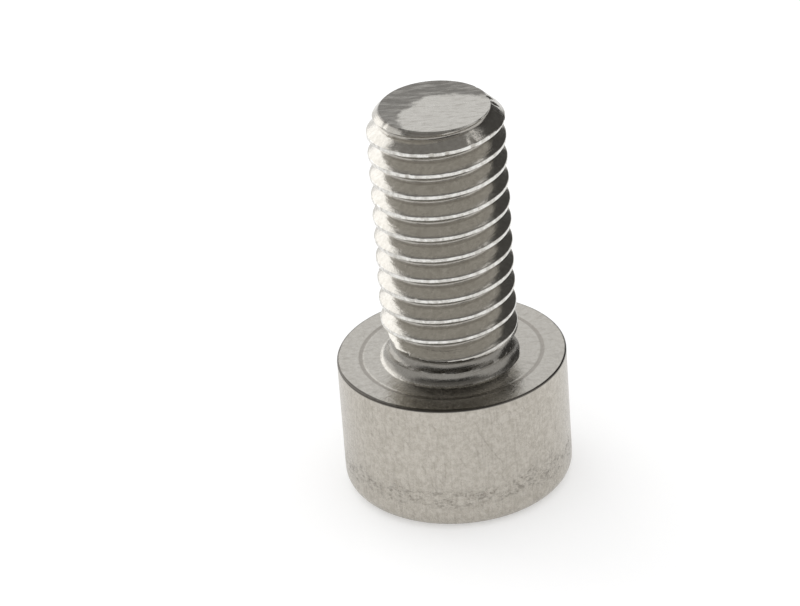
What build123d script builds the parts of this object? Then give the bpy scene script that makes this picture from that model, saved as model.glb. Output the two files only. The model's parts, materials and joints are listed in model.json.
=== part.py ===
from build123d import *
from build123d.topology import SkipClean
import os
from math import ceil, radians, tan

# A hexagon socket head cap screw, M6 x 12, in millimetres. The origin is the centre of the
# bearing face under the head: the threaded shank points up +Z and the head hangs below it.

# Threaded shank
SHANK_LENGTH = 12.0
CREST_DIAMETER = 5.93
TIP_CHAMFER = 0.6
THREAD_PITCH = 1.0
THREAD_ANGLE = 60.0
# The crest land and the root of the thread, as shares of its pitch
CREST_SHARE = 0.16
ROOT_SHARE = 0.17
ROOT_ROUND = 0.05

# Neck between the thread and the head: a hollow, a ridge, then a fillet that flares at its foot
THREAD_START = 1.2
GROOVE_START = 0.96
NECK_ABOVE_ROOT = 0.065
RIDGE_ABOVE_ROOT = 0.315
RIDGE_HEIGHT = 0.5
FOOT_BEYOND_CREST = 0.135
FOOT_HOLLOW = 0.07

# Head
HEAD_DIAMETER = 10.0
HEAD_HEIGHT = 6.0
RIM_BREAK = 0.07
END_EDGE_RADIUS = 0.7

# Shallow ring turned into the bearing face
RING_DIAMETER = 7.86
RING_WIDTH = 0.3
RING_DEPTH = 0.04

# Hex socket in the head end
SOCKET_WIDTH = 5.0
SOCKET_DEPTH = 3.0
SOCKET_CONE_DEPTH = 0.6
SOCKET_MOUTH_BREAK = 0.45

# The shank is turned in this many equal sectors, so each crest land is several short faces.
SECTORS = 12
# How far the groove cutter stands proud of the crests
OVERCUT = 0.06

flank_slope = tan(radians(THREAD_ANGLE / 2))
thread_depth = THREAD_PITCH * (1 - CREST_SHARE - ROOT_SHARE) / 2 / flank_slope
crest_radius = CREST_DIAMETER / 2
root_radius = crest_radius - thread_depth
head_radius = HEAD_DIAMETER / 2


def head_body():
    """Plain cylindrical head with a broken rim, a rounded end edge and a ring in its face."""
    ring_inside = (RING_DIAMETER - RING_WIDTH) / 2
    ring_outside = (RING_DIAMETER + RING_WIDTH) / 2
    with BuildPart() as head:
        with BuildSketch(Plane.XZ):
            with BuildLine():
                Line((0, 0), (ring_inside, 0))
                Line((ring_inside, 0), (RING_DIAMETER / 2, -RING_DEPTH))
                Line((RING_DIAMETER / 2, -RING_DEPTH), (ring_outside, 0))
                Line((ring_outside, 0), (head_radius - RIM_BREAK, 0))
                Line((head_radius - RIM_BREAK, 0), (head_radius, -RIM_BREAK))
                Line((head_radius, -RIM_BREAK), (head_radius, END_EDGE_RADIUS - HEAD_HEIGHT))
                RadiusArc(
                    (head_radius, END_EDGE_RADIUS - HEAD_HEIGHT),
                    (head_radius - END_EDGE_RADIUS, -HEAD_HEIGHT),
                    END_EDGE_RADIUS,
                )
                Line((head_radius - END_EDGE_RADIUS, -HEAD_HEIGHT), (0, -HEAD_HEIGHT))
                Line((0, -HEAD_HEIGHT), (0, 0))
            make_face()
        revolve(axis=Axis.Z)
    return head.part


def shank_sector():
    """One sector of the shank before threading, from inside the head up to the tip."""
    foot = (crest_radius + FOOT_BEYOND_CREST, 0)
    ridge = (root_radius + RIDGE_ABOVE_ROOT, RIDGE_HEIGHT)
    hollow = ((foot[0] + ridge[0]) / 2 - FOOT_HOLLOW, RIDGE_HEIGHT / 2 - FOOT_HOLLOW)
    neck = (root_radius + NECK_ABOVE_ROOT, (RIDGE_HEIGHT + THREAD_START) / 2)
    shoulder = (crest_radius, THREAD_START)
    chamfer_foot = (crest_radius, SHANK_LENGTH - TIP_CHAMFER)
    tip_edge = (crest_radius - TIP_CHAMFER, SHANK_LENGTH)
    with BuildPart() as sector:
        with BuildSketch(Plane.XZ):
            with BuildLine():
                ThreePointArc(foot, hollow, ridge)
                ThreePointArc(ridge, neck, shoulder)
                Polyline(shoulder, chamfer_foot, tip_edge, (0, SHANK_LENGTH))
                Polyline((0, SHANK_LENGTH), (0, -RIDGE_HEIGHT), (foot[0], -RIDGE_HEIGHT), foot)
            make_face()
        revolve(axis=Axis.Z, revolution_arc=360 / SECTORS)
    return sector.part


def half_turn_of_groove():
    """Half a right-hand turn of the thread groove, starting beside +X in the neck."""
    half_root = THREAD_PITCH * ROOT_SHARE / 2
    depth = thread_depth + OVERCUT
    half_top = half_root + depth * flank_slope
    with BuildPart() as cutter:
        with BuildLine() as path:
            Helix(THREAD_PITCH, THREAD_PITCH / 2, root_radius, center=(0, 0, GROOVE_START))
        with BuildSketch(Plane(path.line @ 0, x_dir=(1, 0, 0), z_dir=path.line % 0)):
            with BuildLine():
                Polyline((0, -half_root), (depth, -half_top), (depth, half_top), (0, half_root))
                ThreePointArc((0, half_root), (-ROOT_ROUND, 0), (0, -half_root))
            make_face()
        sweep(path=path.line, is_frenet=True)
    return cutter.part


def socket():
    """The hex socket with its shallow conical floor and its countersunk mouth."""
    flat_radius = SOCKET_WIDTH / 2
    mouth_radius = flat_radius + SOCKET_MOUTH_BREAK
    floor = SOCKET_DEPTH - HEAD_HEIGHT
    with BuildPart() as cavity:
        with BuildSketch(Plane.XY.offset(-HEAD_HEIGHT)):
            RegularPolygon(flat_radius, 6, major_radius=False)
        extrude(amount=SOCKET_DEPTH)
        with BuildSketch(Plane.XZ):
            with BuildLine():
                Polyline((0, floor), (flat_radius, floor), (0, floor + SOCKET_CONE_DEPTH), close=True)
            make_face()
        revolve(axis=Axis.Z)
        with BuildSketch(Plane.XZ):
            with BuildLine():
                Polyline(
                    (0, -HEAD_HEIGHT),
                    (mouth_radius, -HEAD_HEIGHT),
                    (0, mouth_radius - HEAD_HEIGHT),
                    close=True,
                )
            make_face()
        revolve(axis=Axis.Z)
    return cavity.part


def cap_screw():
    """The whole screw: head and shank in one, then the groove and the socket cut from it."""
    cutter = half_turn_of_groove()
    half_turns = ceil((SHANK_LENGTH + THREAD_PITCH - GROOVE_START) / (THREAD_PITCH / 2))
    with BuildPart() as screw:
        add(head_body())
        with PolarLocations(0, SECTORS, start_angle=180 / SECTORS):
            add(shank_sector(), clean=False)
        for step in range(half_turns):
            place = Pos(0, 0, step * THREAD_PITCH / 2) * Rot(0, 0, 180 * step)
            add(place * cutter, mode=Mode.SUBTRACT, clean=False)
        add(socket(), mode=Mode.SUBTRACT, clean=False)
    return screw.part


os.makedirs("parts", exist_ok=True)
with SkipClean():
    export_step(cap_screw(), "parts/cap_screw.step")
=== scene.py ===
import bmesh
import bpy
import json
import math
import numpy as np
from mathutils import Matrix, Vector


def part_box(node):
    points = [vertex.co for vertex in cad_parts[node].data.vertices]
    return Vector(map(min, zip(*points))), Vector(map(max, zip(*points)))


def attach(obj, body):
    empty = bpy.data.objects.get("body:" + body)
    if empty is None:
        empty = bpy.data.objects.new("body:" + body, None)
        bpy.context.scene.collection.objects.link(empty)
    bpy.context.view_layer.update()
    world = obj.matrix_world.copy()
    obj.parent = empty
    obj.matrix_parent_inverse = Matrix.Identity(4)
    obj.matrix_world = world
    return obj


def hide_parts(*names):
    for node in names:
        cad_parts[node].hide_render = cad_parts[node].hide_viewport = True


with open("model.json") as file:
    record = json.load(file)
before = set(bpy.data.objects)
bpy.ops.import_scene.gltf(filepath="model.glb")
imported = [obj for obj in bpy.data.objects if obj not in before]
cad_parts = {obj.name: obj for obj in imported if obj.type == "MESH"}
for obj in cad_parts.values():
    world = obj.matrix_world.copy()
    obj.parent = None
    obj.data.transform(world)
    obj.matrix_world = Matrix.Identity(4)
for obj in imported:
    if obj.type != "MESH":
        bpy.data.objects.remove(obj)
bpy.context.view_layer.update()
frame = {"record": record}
low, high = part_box("cap_screw")

MM = 0.001
TAU = 2 * math.pi

# ---------------------------------------------------------------------------------------------
# Sizes, in millimetres. The overall ones come from the frame.
# ---------------------------------------------------------------------------------------------
HEAD_RADIUS = high[0] / MM
HEAD_HEIGHT = -low[2] / MM
SHANK_LENGTH = high[2] / MM
thread_mount = next(m for m in frame["record"]["mounts"] if m["name"] == "thread")
CREST_RADIUS = thread_mount["dims"]["r_mm"]

PITCH = 1.0
FLANK_SLOPE = math.tan(math.radians(30))
CREST_SHARE = 0.16
ROOT_SHARE = 0.17
THREAD_DEPTH = PITCH * (1 - CREST_SHARE - ROOT_SHARE) / 2 / FLANK_SLOPE
ROOT_RADIUS = CREST_RADIUS - THREAD_DEPTH
GROOVE_START = 0.96
THREAD_START = 1.2
TIP_CHAMFER = 0.6
ROOT_ROUND = 0.05
NECK_RADIUS = ROOT_RADIUS + 0.065
RIDGE_RADIUS = ROOT_RADIUS + 0.315
RIDGE_HEIGHT = 0.5
FOOT_RADIUS = CREST_RADIUS + 0.135
FOOT_HOLLOW = 0.07

# How far the crests' corners are rounded over, and the corner where thread and outer form meet
CREST_BLEND = 0.065
OUTER_BLEND = 0.02
# How far the crests stray from true, and how quickly: their waves repeat every 1 / CREST_PACE turns
CREST_WANDER = 0.012
CREST_PACE = 0.63
# How far the tip strays from true, and the height where that begins
TIP_WANDER = 0.02
TIP_WANDER_START = 11
# The groove fades in over this stretch of the helix, in radians from its start
FADE_START = -1.9
FADE_LENGTH = 2.4

RIM_BREAK = 0.07
END_EDGE_RADIUS = 0.7
RING_RADIUS = 3.93
RING_HALF_WIDTH = 0.15
RING_DEPTH = 0.012

SOCKET_WIDTH = 5.0
SOCKET_DEPTH = 3.0
SOCKET_CONE_DEPTH = 0.6
SOCKET_MOUTH_BREAK = 0.45

# Points round every ring of the mesh
SEGMENTS = 240
# The least height of a wall face; flatter ones lie in the end planes and are left out
LEAST_HEIGHT = 1e-6
# In metres: how near two vertices are joined, and how short an edge is dropped
JOIN_DISTANCE = 3e-7
LEAST_EDGE = 1e-7
# Edges that bend more than this many degrees are drawn hard
SHARP_DEGREES = 32


def smooth_noise(seed, count, waves):
    """A function made of a few seeded waves, zero on average, that repeats every TAU."""
    rng = np.random.default_rng(seed)
    orders = rng.integers(1, waves, count)
    phases = rng.uniform(0, TAU, count)
    sizes = rng.uniform(0.4, 1.0, count) / np.sqrt(orders)

    def value(angle):
        total = np.zeros_like(angle)
        for order, phase, size in zip(orders, phases, sizes):
            total += size * np.sin(order * angle + phase)
        return total / count

    return value


# ---------------------------------------------------------------------------------------------
# The screw's surface as a radius over angle and height
# ---------------------------------------------------------------------------------------------
def arc_through(start, middle, end, count):
    """Points on the circle through three points, from the first to the last."""
    (ax, ay), (bx, by), (cx, cy) = start, middle, end
    d = 2 * (ax * (by - cy) + bx * (cy - ay) + cx * (ay - by))
    a2, b2, c2 = ax * ax + ay * ay, bx * bx + by * by, cx * cx + cy * cy
    ux = (a2 * (by - cy) + b2 * (cy - ay) + c2 * (ay - by)) / d
    uy = (a2 * (cx - bx) + b2 * (ax - cx) + c2 * (bx - ax)) / d
    angles = np.unwrap([math.atan2(y - uy, x - ux) for x, y in (start, middle, end)])
    turn = np.linspace(angles[0], angles[2], count)
    radius = math.hypot(ax - ux, ay - uy)
    return np.stack([ux + radius * np.cos(turn), uy + radius * np.sin(turn)], axis=1)


def shank_outline():
    """(radius, height) points of the shank's outer form from the bearing face to the tip."""
    foot = (FOOT_RADIUS, 0.0)
    ridge = (RIDGE_RADIUS, RIDGE_HEIGHT)
    hollow = ((foot[0] + ridge[0]) / 2 - FOOT_HOLLOW, RIDGE_HEIGHT / 2 - FOOT_HOLLOW)
    neck = (NECK_RADIUS, (RIDGE_HEIGHT + THREAD_START) / 2)
    shoulder = (CREST_RADIUS, THREAD_START)
    tip = [(CREST_RADIUS, SHANK_LENGTH - TIP_CHAMFER), (CREST_RADIUS - TIP_CHAMFER, SHANK_LENGTH)]
    return np.vstack([arc_through(foot, hollow, ridge, 24), arc_through(ridge, neck, shoulder, 32), tip])


OUTLINE = shank_outline()


def envelope(height):
    return np.interp(height, OUTLINE[:, 1], OUTLINE[:, 0])


def soft_min(a, b, blend):
    """The lesser of two values, rounded over where they cross."""
    h = np.clip(0.5 + 0.5 * (b - a) / blend, 0, 1)
    return b + (a - b) * h - blend * h * (1 - h)


def thread_radius(phase):
    """Radius of the thread at a phase in pitches from the nearest groove's middle, -0.5 to 0.5."""
    across = np.abs(phase) * PITCH
    half_root = PITCH * ROOT_SHARE / 2
    flank = ROOT_RADIUS + (across - half_root) / FLANK_SLOPE
    root = ROOT_RADIUS - ROOT_ROUND * (1 - (across / half_root) ** 2)
    radius = np.where(across < half_root, root, flank)
    return soft_min(radius, np.full_like(radius, CREST_RADIUS), CREST_BLEND)


# Small dents along the crests: which turn, angle in degrees, size and depth in millimetres
DENTS = [
    (11, -128, 0.18, 0.025), (11, -96, 0.10, 0.07), (11, -83, 0.08, 0.06), (11, -60, 0.12, 0.05),
    (10, -118, 0.10, 0.04), (10, -70, 0.07, 0.03), (8, -105, 0.06, 0.03), (6, -58, 0.08, 0.03),
    (4, -120, 0.09, 0.03), (3, -88, 0.07, 0.03), (7, 30, 0.10, 0.04), (5, 110, 0.12, 0.04),
    (3, 170, 0.10, 0.04), (9, 75, 0.14, 0.05), (10, 150, 0.12, 0.05),
]
# How far each dent reaches along the screw, in millimetres
DENT_REACH = 0.2

# Nicks in the tip's edge: angle in degrees, height, size and depth in millimetres
NICKS = [(13, 11.92, 0.13, 0.14), (3, 11.75, 0.08, 0.08), (38, 11.95, 0.07, 0.07), (-150, 11.9, 0.10, 0.05)]


def dent_depth(angle, height):
    """How far the dents and nicks press the surface in, at each angle and height."""
    total = np.zeros_like(angle)
    spots = [
        (degrees, (turn - 0.5 + degrees / 360) * PITCH + GROOVE_START, size, depth, DENT_REACH)
        for turn, degrees, size, depth in DENTS
    ]
    spots += [(degrees, level, size, depth, size) for degrees, level, size, depth in NICKS]
    for degrees, level, size, depth, reach in spots:
        across = (np.mod(angle - math.radians(degrees) + math.pi, TAU) - math.pi) * CREST_RADIUS
        total += depth * np.exp(-((across / size) ** 2) - ((height - level) / reach) ** 2)
    return total


crest_wander = smooth_noise(11, 14, 40)
tip_wander = smooth_noise(5, 10, 16)


def shank_radius(angle, height):
    """Radius of the finished shank: its outer form, the groove that fades in at the neck, the dents."""
    turn = (height - GROOVE_START) / PITCH - angle / TAU
    phase = turn - np.round(turn)
    travelled = angle + TAU * np.round(turn)
    along = TAU * (height - GROOVE_START) / PITCH
    fade = np.clip((travelled - FADE_START) / FADE_LENGTH, 0, 1)
    fade = fade * fade * (3 - 2 * fade)
    wander = CREST_WANDER * crest_wander(CREST_PACE * along)
    thread = thread_radius(phase) + wander + (1 - fade) * THREAD_DEPTH
    uneven = np.where(height > TIP_WANDER_START, TIP_WANDER * tip_wander(angle), 0)
    outer = envelope(height) + uneven
    return soft_min(outer, thread, OUTER_BLEND) - dent_depth(angle, height)


def row_phases():
    """Where the mesh rows of one pitch lie: closest at the root and over the crest."""
    half = [0.0, 0.045, 0.085, 0.12, 0.18, 0.25, 0.32, 0.37, 0.40, 0.42, 0.44, 0.47]
    return sorted({round(s * p, 4) for p in half for s in (-1, 1)} | {0.5})


def shank_grid():
    """Vertices and faces of the shank's wall, in rows that follow the thread's helix."""
    phases = row_phases()
    per_pitch = len(phases)
    turns = range(-3, int(SHANK_LENGTH / PITCH) + 2)
    starts = np.array([(turn + phase) * PITCH + GROOVE_START for turn in turns for phase in phases])
    angles = np.arange(SEGMENTS) * TAU / SEGMENTS
    height = np.clip(starts[:, None] + PITCH * angles[None, :] / TAU, 0, SHANK_LENGTH)
    angle = np.broadcast_to(angles, height.shape)
    radius = shank_radius(angle, height)
    points = np.stack([radius * np.cos(angle), radius * np.sin(angle), height], axis=-1)
    faces = []
    for row in range(len(starts) - 1):
        for column in range(SEGMENTS):
            step = 0 if column < SEGMENTS - 1 else per_pitch
            if row + 1 + step >= len(starts):
                continue
            near, far = row * SEGMENTS, (row + step) * SEGMENTS
            right = (column + 1) % SEGMENTS
            corners = (near + column, far + right, far + SEGMENTS + right, near + SEGMENTS + column)
            heights = [height.flat[c] for c in corners]
            if max(heights) - min(heights) > LEAST_HEIGHT:
                faces.append(corners)
    return points.reshape(-1, 3), faces


def ring_points(radii, heights):
    """One ring of points at each radius and height; either may vary round the ring."""
    angles = np.arange(SEGMENTS) * TAU / SEGMENTS
    rings = [
        np.stack([np.cos(angles) * r, np.sin(angles) * r, np.zeros(SEGMENTS) + z], axis=1)
        for r, z in zip(radii, heights)
    ]
    return np.vstack(rings)


def ring_faces(count, start, flip):
    """Quads between neighbouring rings."""
    faces = []
    for ring in range(count - 1):
        for column in range(SEGMENTS):
            right = (column + 1) % SEGMENTS
            a = start + ring * SEGMENTS
            quad = (a + column, a + SEGMENTS + column, a + SEGMENTS + right, a + right)
            faces.append(quad[::-1] if flip else quad)
    return faces


def hex_radius():
    """The socket's wall at each angle, with its corners on +X and every 60 degrees."""
    angles = np.arange(SEGMENTS) * TAU / SEGMENTS
    return SOCKET_WIDTH / 2 / np.cos(np.mod(angles, TAU / 6) - TAU / 12)


def head_rings():
    """Radii and heights from the neck's foot out, down the side, in under and up into the socket."""
    rings = [(FOOT_RADIUS, 0)]
    rings += [(FOOT_RADIUS + d, 0) for d in (0.02, 0.08, 0.2, 0.4)]
    for share in np.linspace(-1.2, 1.2, 13):
        dip = RING_DEPTH * math.cos(min(abs(share), 1) * math.pi / 2) ** 2
        rings.append((RING_RADIUS + share * RING_HALF_WIDTH, -dip))
    rings += [(4.3, 0), (4.6, 0), (4.85, 0), (4.905, 0)]
    rim = HEAD_RADIUS - RIM_BREAK
    for turn in np.linspace(0, math.pi / 2, 6):
        rings.append((rim + RIM_BREAK * math.sin(turn), RIM_BREAK * (math.cos(turn) - 1)))
    rings += [(HEAD_RADIUS, -z) for z in (0.12, 0.3, 0.8, 1.6, 2.4, 3.2, 4.0, 4.6, 5.0, 5.2)]
    edge = HEAD_RADIUS - END_EDGE_RADIUS
    for turn in np.linspace(0, math.pi / 2, 13):
        rings.append((
            edge + END_EDGE_RADIUS * math.cos(turn),
            END_EDGE_RADIUS * (1 - math.sin(turn)) - HEAD_HEIGHT,
        ))
    rings += [(edge - 0.05, -HEAD_HEIGHT), (3.7, -HEAD_HEIGHT), (3.1, -HEAD_HEIGHT)]
    mouth = SOCKET_WIDTH / 2 + SOCKET_MOUTH_BREAK
    wall = hex_radius()
    for depth in (0, 0.02, 0.06, 0.12, 0.2, 0.28, 0.36, 0.45, 0.6, 1.5, 2.4, SOCKET_DEPTH):
        rings.append((np.maximum(wall, mouth - depth), depth - HEAD_HEIGHT))
    floor = SOCKET_DEPTH - HEAD_HEIGHT
    flat = SOCKET_WIDTH / 2
    for share in (1, 0.98, 0.8, 0.6, 0.4, 0.2, 0.05, 0.005):
        rings.append((flat * share, floor + SOCKET_CONE_DEPTH * (1 - share)))
    return zip(*rings)


def tip_rings():
    """Radii and heights of the tip's face, from its edge in to its middle, very slightly dished."""
    dish = 0.022
    angles = np.arange(SEGMENTS) * TAU / SEGMENTS
    edge = shank_radius(angles, np.full(SEGMENTS, SHANK_LENGTH))
    shares = (1, 0.985, 0.95, 0.88, 0.78, 0.66, 0.54, 0.42, 0.3, 0.18, 0.08, 0.005)
    tilt = 0.5 * np.cos(angles - 2.2)
    radii = [edge * share for share in shares]
    heights = [
        SHANK_LENGTH - (0 if share == 1 else dish * (1 - share ** 2) * (1 + tilt * share))
        for share in shares
    ]
    return radii, heights


def screw_mesh():
    """The whole screw as one closed mesh."""
    wall, faces = shank_grid()
    radii, heights = head_rings()
    head = ring_points(radii, heights)
    tip_radii, tip_heights = tip_rings()
    tip = ring_points(tip_radii, tip_heights)
    faces += ring_faces(len(head) // SEGMENTS, len(wall), False)
    faces += ring_faces(len(tip) // SEGMENTS, len(wall) + len(head), True)
    points = np.vstack([wall, head, tip]) * MM
    mesh = bpy.data.meshes.new("cap_screw_body")
    mesh.from_pydata(points.tolist(), [], [tuple(int(i) for i in face) for face in faces])
    return mesh


def close_mesh(mesh):
    """Joins the parts of the mesh, closes its two small poles and sets its hard edges."""
    bm = bmesh.new()
    bm.from_mesh(mesh)
    bmesh.ops.remove_doubles(bm, verts=bm.verts, dist=JOIN_DISTANCE)
    bmesh.ops.dissolve_degenerate(bm, dist=LEAST_EDGE, edges=bm.edges)
    bmesh.ops.holes_fill(bm, edges=[e for e in bm.edges if e.is_boundary], sides=0)
    loose = [v for v in bm.verts if not v.link_faces]
    bmesh.ops.delete(bm, geom=loose, context="VERTS")
    bmesh.ops.recalc_face_normals(bm, faces=bm.faces)
    bm.to_mesh(mesh)
    bm.free()
    mesh.shade_smooth()
    mesh.set_sharp_from_angle(angle=math.radians(SHARP_DEGREES))


# ---------------------------------------------------------------------------------------------
# Materials
# ---------------------------------------------------------------------------------------------
class Nodes:
    """Short calls that add shader nodes to one tree and wire them up."""

    def __init__(self, tree):
        self.tree = tree
        tree.nodes.clear()

    def add(self, kind, inputs=None, **settings):
        made = self.tree.nodes.new(kind)
        for name, value in settings.items():
            setattr(made, name, value)
        for name, value in (inputs or {}).items():
            self.wire(made.inputs[name], value)
        return made

    def wire(self, socket, value):
        if isinstance(value, bpy.types.NodeSocket):
            self.tree.links.new(value, socket)
        else:
            socket.default_value = value

    def math(self, operation, *values):
        made = self.add("ShaderNodeMath", operation=operation)
        for socket, value in zip(made.inputs, values):
            self.wire(socket, value)
        return made.outputs[0]

    def times(self, first, second):
        return self.math("MULTIPLY", first, second)

    def plus(self, first, second):
        return self.math("ADD", first, second)

    def minus(self, first, second):
        return self.math("SUBTRACT", first, second)

    def ramp(self, value, from_low, from_high, to_low=0.0, to_high=1.0):
        """A smooth step of value from one level to another."""
        made = self.add("ShaderNodeMapRange", interpolation_type="SMOOTHSTEP", clamp=True)
        sockets = ("Value", "From Min", "From Max", "To Min", "To Max")
        for name, amount in zip(sockets, (value, from_low, from_high, to_low, to_high)):
            self.wire(made.inputs[name], amount)
        return made.outputs["Result"]

    def noise(self, vector, scale, detail=3.0, roughness=0.55):
        made = self.add("ShaderNodeTexNoise", {
            "Vector": vector, "Scale": scale, "Detail": detail, "Roughness": roughness,
        })
        return made.outputs["Fac"]

    def point(self, x, y, z):
        return self.add("ShaderNodeCombineXYZ", {"X": x, "Y": y, "Z": z}).outputs[0]

    def mix(self, share, first, second):
        """A colour between two others. Its sockets go by number, as other kinds share their names."""
        made = self.add("ShaderNodeMix", data_type="RGBA")
        self.wire(made.inputs[0], share)
        self.wire(made.inputs[6], first)
        self.wire(made.inputs[7], second)
        return made.outputs[2]


def steel_material():
    """Satin stainless steel: turned faces, rolled thread and a scuffed head, told apart by place."""
    material = bpy.data.materials.new("stainless_steel")
    material.use_nodes = True
    n = Nodes(material.node_tree)
    place = n.add("ShaderNodeTexCoord").outputs["Object"]
    scaled = n.add("ShaderNodeVectorMath", {0: place, "Scale": 1 / MM}, operation="SCALE").outputs[0]
    split = n.add("ShaderNodeSeparateXYZ", {0: scaled})
    x, y, z = split.outputs
    radius = n.math("SQRT", n.plus(n.times(x, x), n.times(y, y)))
    angle = n.math("ARCTAN2", y, x)
    cos_a = n.math("DIVIDE", x, n.plus(radius, 0.001))
    sin_a = n.math("DIVIDE", y, n.plus(radius, 0.001))

    # Where each kind of surface is
    side = n.times(n.ramp(z, -0.03, -0.12), n.ramp(radius, 4.2, 4.6))
    face = n.times(n.ramp(z, -0.06, -0.04), n.ramp(z, 0.03, 0.01))
    shank = n.ramp(z, 0.02, 0.1)
    tip = n.ramp(z, 11.93, 11.97)
    neck = n.times(shank, n.ramp(z, 1.15, 0.9))
    thread = n.minus(shank, tip)

    # Head side: soft mottling, fine scratches along and across, and a scuffed band low down
    mottle = n.noise(scaled, 4.2, 5, 0.7)
    grain = n.noise(scaled, 11.0, 3, 0.65)
    upright = n.noise(n.point(n.times(cos_a, 60.0), n.times(sin_a, 60.0), z), 1.0, 2)
    level = n.noise(n.point(cos_a, sin_a, n.times(z, 14.0)), 1.6, 3)
    scuff_height = n.plus(z, n.times(n.noise(scaled, 0.9, 2), 1.3))
    low_edge = n.ramp(scuff_height, -4.5, -3.9)
    band = n.times(low_edge, n.ramp(scuff_height, -3.0, -3.6))
    flat_place = n.point(x, y, n.times(z, 1.9))
    specks = n.ramp(n.noise(flat_place, 3.1, 6, 0.8), 0.47, 0.64)
    scuff = n.times(n.times(band, specks), side)
    slant_x = n.plus(n.times(cos_a, 26.0), n.times(z, 3.0))
    slant = n.noise(n.point(slant_x, n.times(sin_a, 26.0), n.times(z, 0.6)), 1.0, 3, 0.6)
    scratches = n.times(n.ramp(slant, 0.6, 0.72), side)

    # Bearing face: radial streaks over faint turning rings
    radial_place = n.point(n.times(cos_a, 9.0), n.times(sin_a, 9.0), radius)
    radial = n.noise(radial_place, 1.8, 3, 0.6)
    rings = n.noise(n.point(radius, 0.0, 0.0), 9.0, 3, 0.7)
    ring_line = n.times(n.ramp(radius, 3.84, 3.90), n.ramp(radius, 4.08, 4.02))

    # Thread: streaks that follow the helix; the crests' lighter colour is partly polish, partly painted
    # highlight
    along = n.minus(z, n.times(angle, PITCH / TAU))
    rolled = n.noise(n.point(cos_a, sin_a, n.times(along, 9.0)), 1.8, 3, 0.6)
    root = n.times(n.ramp(radius, 2.50, 2.42), thread)
    crest = n.times(n.ramp(radius, 2.925, 2.95), n.times(n.ramp(z, 1.2, 1.5), thread))

    # Rim of the bearing face: a painted dark line, painted shade and dark reflection along the rim,
    # broadest where the photo shows it
    toward = math.radians(-118)
    facing_x = n.times(cos_a, math.cos(toward))
    facing_y = n.times(sin_a, math.sin(toward))
    facing = n.plus(facing_x, facing_y)
    wobble = n.times(n.noise(scaled, 1.4, 3, 0.7), 0.07)
    broad = n.plus(n.times(n.ramp(facing, 0.6, 0.95), 0.09), wobble)
    rim_reach = n.plus(radius, broad)
    rim = n.times(n.ramp(rim_reach, 4.94, 4.98), n.ramp(z, -0.10, -0.05))

    # Tip face: a bright patch worn flat, with the dull skin left round its back and left
    brushed_place = n.point(n.times(x, 0.8), n.times(y, 4.0), 0.0)
    brushed = n.noise(brushed_place, 1.7, 4, 0.65)
    swirl = n.times(n.minus(n.noise(scaled, 1.2, 4, 0.65), 0.5), 1.3)
    patch_x = n.minus(x, 0.6)
    patch_y = n.plus(y, 1.1)
    patch_squared = n.plus(n.times(patch_x, patch_x), n.times(patch_y, patch_y))
    patch_reach = n.plus(n.math("SQRT", patch_squared), swirl)
    skin = n.times(n.ramp(patch_reach, 1.95, 2.3), tip)
    skin_spots = n.ramp(n.noise(brushed_place, 1.1, 4, 0.7), 0.3, 0.6, 0.55, 1.0)

    # Colour
    warm = (0.425, 0.396, 0.348, 1)
    pale = (0.535, 0.503, 0.450, 1)
    dark = (0.20, 0.18, 0.155, 1)
    black = (0.085, 0.078, 0.068, 1)
    turned_warm = (0.435, 0.416, 0.380, 1)
    turned_pale = (0.505, 0.487, 0.450, 1)
    tip_pale = (0.62, 0.61, 0.58, 1)
    # Crest colour: partly polish, partly a painted highlight
    polished_and_highlight = (0.78, 0.77, 0.74, 1)
    head = n.mix(n.ramp(mottle, 0.34, 0.66), warm, pale)
    head = n.mix(n.times(n.ramp(upright, 0.48, 0.75), 0.22), head, dark)
    turned = n.mix(n.ramp(mottle, 0.34, 0.66), turned_warm, turned_pale)
    colour = n.mix(side, turned, head)
    colour = n.mix(n.times(n.ramp(grain, 0.5, 0.72), 0.2), colour, dark)
    colour = n.mix(n.times(scratches, 0.3), colour, dark)
    colour = n.mix(n.times(scuff, 0.75), colour, dark)
    colour = n.mix(n.times(root, 0.3), colour, dark)
    # The neck is painted darker: painted shade for the dark hollow under the last thread, which also dulls
    # its highlights
    colour = n.mix(n.times(neck, 0.6), colour, black)
    colour = n.mix(n.times(tip, 0.35), colour, tip_pale)
    # Crests painted lighter in patches: partly polish, partly a painted highlight for their bright glinting
    # lines
    colour = n.mix(n.times(crest, n.ramp(mottle, 0.38, 0.62, 0.25, 0.95)), colour, polished_and_highlight)
    colour = n.mix(n.times(n.times(ring_line, face), 0.5), colour, dark)
    colour = n.mix(n.times(n.ramp(radial, 0.5, 0.75), n.times(face, 0.25)), colour, dark)
    colour = n.mix(n.times(n.ramp(brushed, 0.48, 0.66), n.times(tip, 0.35)), colour, dark)
    # The rim's painted dark line: painted shade and painted dark reflection
    colour = n.mix(n.times(rim, 0.97), colour, black)
    colour = n.mix(n.times(n.times(skin, skin_spots), 0.85), colour, black)

    # Roughness
    rough = n.ramp(mottle, 0.3, 0.7, 0.22, 0.30)
    rough = n.minus(rough, n.times(thread, 0.11))
    rough = n.minus(rough, n.times(face, 0.06))
    rough = n.minus(rough, n.times(tip, 0.04))
    rough = n.plus(rough, n.times(n.ramp(grain, 0.4, 0.7), 0.05))
    rough = n.plus(rough, n.times(scuff, 0.12))
    rough = n.plus(rough, n.times(neck, 0.08))

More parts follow.
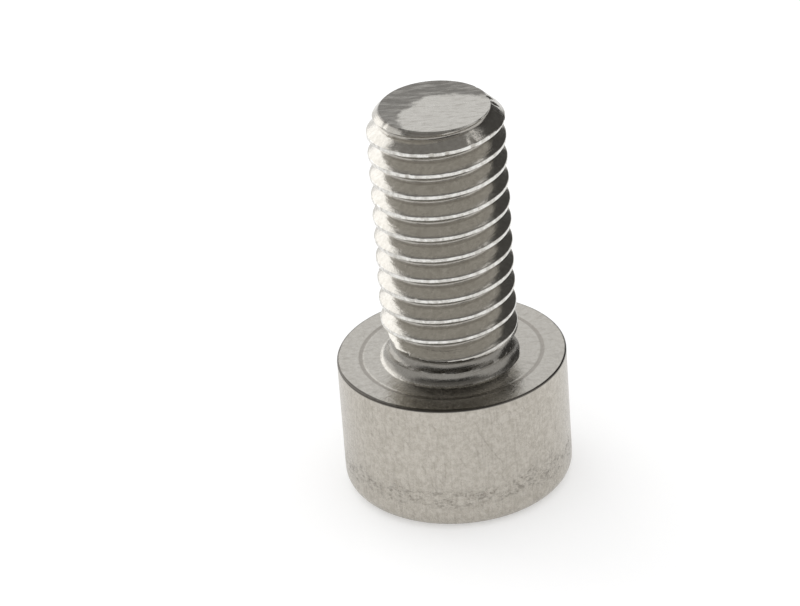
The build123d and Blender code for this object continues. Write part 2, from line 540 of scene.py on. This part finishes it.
    # Relief, in millimetres
    relief = n.times(n.times(upright, side), 0.006)
    relief = n.plus(relief, n.times(n.times(level, side), 0.010))
    relief = n.plus(relief, n.times(n.times(radial, face), 0.012))
    relief = n.plus(relief, n.times(n.times(rings, face), 0.003))
    relief = n.plus(relief, n.times(n.times(rolled, shank), 0.010))
    relief = n.plus(relief, n.times(mottle, 0.008))
    relief = n.plus(relief, n.times(grain, 0.003))
    relief = n.minus(relief, n.times(scuff, 0.008))
    bump = n.add("ShaderNodeBump", {"Strength": 0.8, "Distance": MM, "Height": relief})

    shader = n.add("ShaderNodeBsdfPrincipled", {
        "Base Color": colour, "Metallic": 1.0, "Roughness": rough, "Normal": bump.outputs[0],
    })
    n.add("ShaderNodeOutputMaterial", {"Surface": shader.outputs[0]})
    return material


# ---------------------------------------------------------------------------------------------
# Studio
# ---------------------------------------------------------------------------------------------
def background_rays(n):
    """1 for the rays that should meet the white background: seen, mirrored or passed through."""
    path = n.add("ShaderNodeLightPath").outputs
    either = n.math("MAXIMUM", path["Is Camera Ray"], path["Is Glossy Ray"])
    return n.math("MAXIMUM", either, path["Is Transmission Ray"])


def studio_world():
    """Plain soft light, with a white background for the rays that see it."""
    soft, white = 0.85, 1.0
    world = bpy.data.worlds.new("studio")
    bpy.context.scene.world = world
    world.use_nodes = True
    n = Nodes(world.node_tree)
    strength = n.ramp(background_rays(n), 0.0, 1.0, soft, white)
    light = n.add("ShaderNodeBackground", {"Color": (1, 1, 1, 1), "Strength": strength})
    n.add("ShaderNodeOutputWorld", {"Surface": light.outputs[0]})


def floor_material():
    """White paper that takes a soft shadow and looks as white as the background."""
    grey, shine = 0.75, 0.38
    material = bpy.data.materials.new("floor_white")
    material.use_nodes = True
    n = Nodes(material.node_tree)
    paper = n.add("ShaderNodeBsdfDiffuse", {"Color": (grey, grey, grey, 1)})
    lift = n.times(background_rays(n), shine)
    glow = n.add("ShaderNodeEmission", {"Color": (1, 1, 1, 1), "Strength": lift})
    both = n.add("ShaderNodeAddShader", {0: paper.outputs[0], 1: glow.outputs[0]})
    n.add("ShaderNodeOutputMaterial", {"Surface": both.outputs[0]})
    return material


def plate(name, corners, material):
    """A flat four-cornered sheet."""
    mesh = bpy.data.meshes.new(name)
    mesh.from_pydata([tuple(c) for c in corners], [], [(0, 1, 2, 3)])
    thing = bpy.data.objects.new(name, mesh)
    bpy.context.collection.objects.link(thing)
    mesh.materials.append(material)
    return thing


def floor():
    """The bench the screw stands on, 3 m wide."""
    half = 1.5
    z = low[2]
    corners = [(-half, -half, z), (half, -half, z), (half, half, z), (-half, half, z)]
    sheet = plate("floor", corners, floor_material())


def direction(azimuth, elevation):
    """Unit vector at degrees round from +X and degrees above the horizon."""
    a, e = math.radians(azimuth), math.radians(elevation)
    return Vector((math.cos(a) * math.cos(e), math.sin(a) * math.cos(e), math.sin(e)))


def card(name, azimuth, elevation, distance, width, height, grey):
    """A studio card that faces the screw: it shows in the metal but not to the camera."""
    out = direction(azimuth, elevation)
    across = Vector((-math.sin(math.radians(azimuth)), math.cos(math.radians(azimuth)), 0))
    up = out.cross(across)
    centre = out * distance * MM
    w, h = across * width * MM / 2, up * height * MM / 2
    material = bpy.data.materials.new(name)
    material.use_nodes = True
    n = Nodes(material.node_tree)
    glow = n.add("ShaderNodeEmission", {"Color": (grey, grey * 0.98, grey * 0.95, 1), "Strength": 1.0})
    n.add("ShaderNodeOutputMaterial", {"Surface": glow.outputs[0]})
    sheet = plate(name, [centre - w - h, centre + w - h, centre + w + h, centre - w + h], material)
    sheet.visible_camera = False
    sheet.visible_diffuse = False
    sheet.visible_shadow = False


def lamp(name, azimuth, elevation, distance, size, power):
    """A soft square lamp that points at the screw."""
    data = bpy.data.lights.new(name, "AREA")
    data.size = size * MM
    data.energy = power
    thing = bpy.data.objects.new(name, data)
    bpy.context.collection.objects.link(thing)
    out = direction(azimuth, elevation)
    thing.location = out * distance * MM
    thing.rotation_euler = out.to_track_quat("Z", "Y").to_euler()


def camera():
    """The photographer's view: a long lens, 30 degrees above the bench and slightly rolled."""
    elevation, roll = math.radians(29.63), math.radians(-4.4)
    distance, aside, lift = 175.6, -2.07, 2.28
    back = Vector((0, -math.cos(elevation), math.sin(elevation)))
    right = Vector((1, 0, 0))
    up = back.cross(right)
    seen_right = right * math.cos(roll) + up * math.sin(roll)
    seen_up = up * math.cos(roll) - right * math.sin(roll)
    data = bpy.data.cameras.new("camera")
    data.lens = 181.7
    data.sensor_width = 36
    data.clip_start = 0.01
    data.clip_end = 20
    thing = bpy.data.objects.new("camera", data)
    bpy.context.collection.objects.link(thing)
    turn = Matrix((seen_right, seen_up, back)).transposed()
    place = (back * distance + right * aside + up * lift) * MM
    thing.matrix_world = Matrix.Translation(place) @ turn.to_4x4()
    bpy.context.scene.camera = thing


# ---------------------------------------------------------------------------------------------
# The screw and its setting
# ---------------------------------------------------------------------------------------------
bpy.context.scene.view_settings.view_transform = "Standard"
camera()
studio_world()
floor()
card("card_above", azimuth=0, elevation=90, distance=150, width=200, height=245, grey=0.32)
card("card_front", azimuth=-101, elevation=58, distance=260, width=500, height=250, grey=0.08)
card("card_right_back", azimuth=42, elevation=32, distance=140, width=120, height=150, grey=0.10)
lamp("lamp_left", azimuth=128, elevation=30, distance=250, size=200, power=0.13)
lamp("lamp_right", azimuth=20, elevation=64, distance=120, size=14, power=0.001)

body = screw_mesh()
close_mesh(body)
screw = bpy.data.objects.new("cap_screw_body", body)
bpy.context.collection.objects.link(screw)
body.materials.append(steel_material())
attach(screw, "root")
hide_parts("cap_screw")
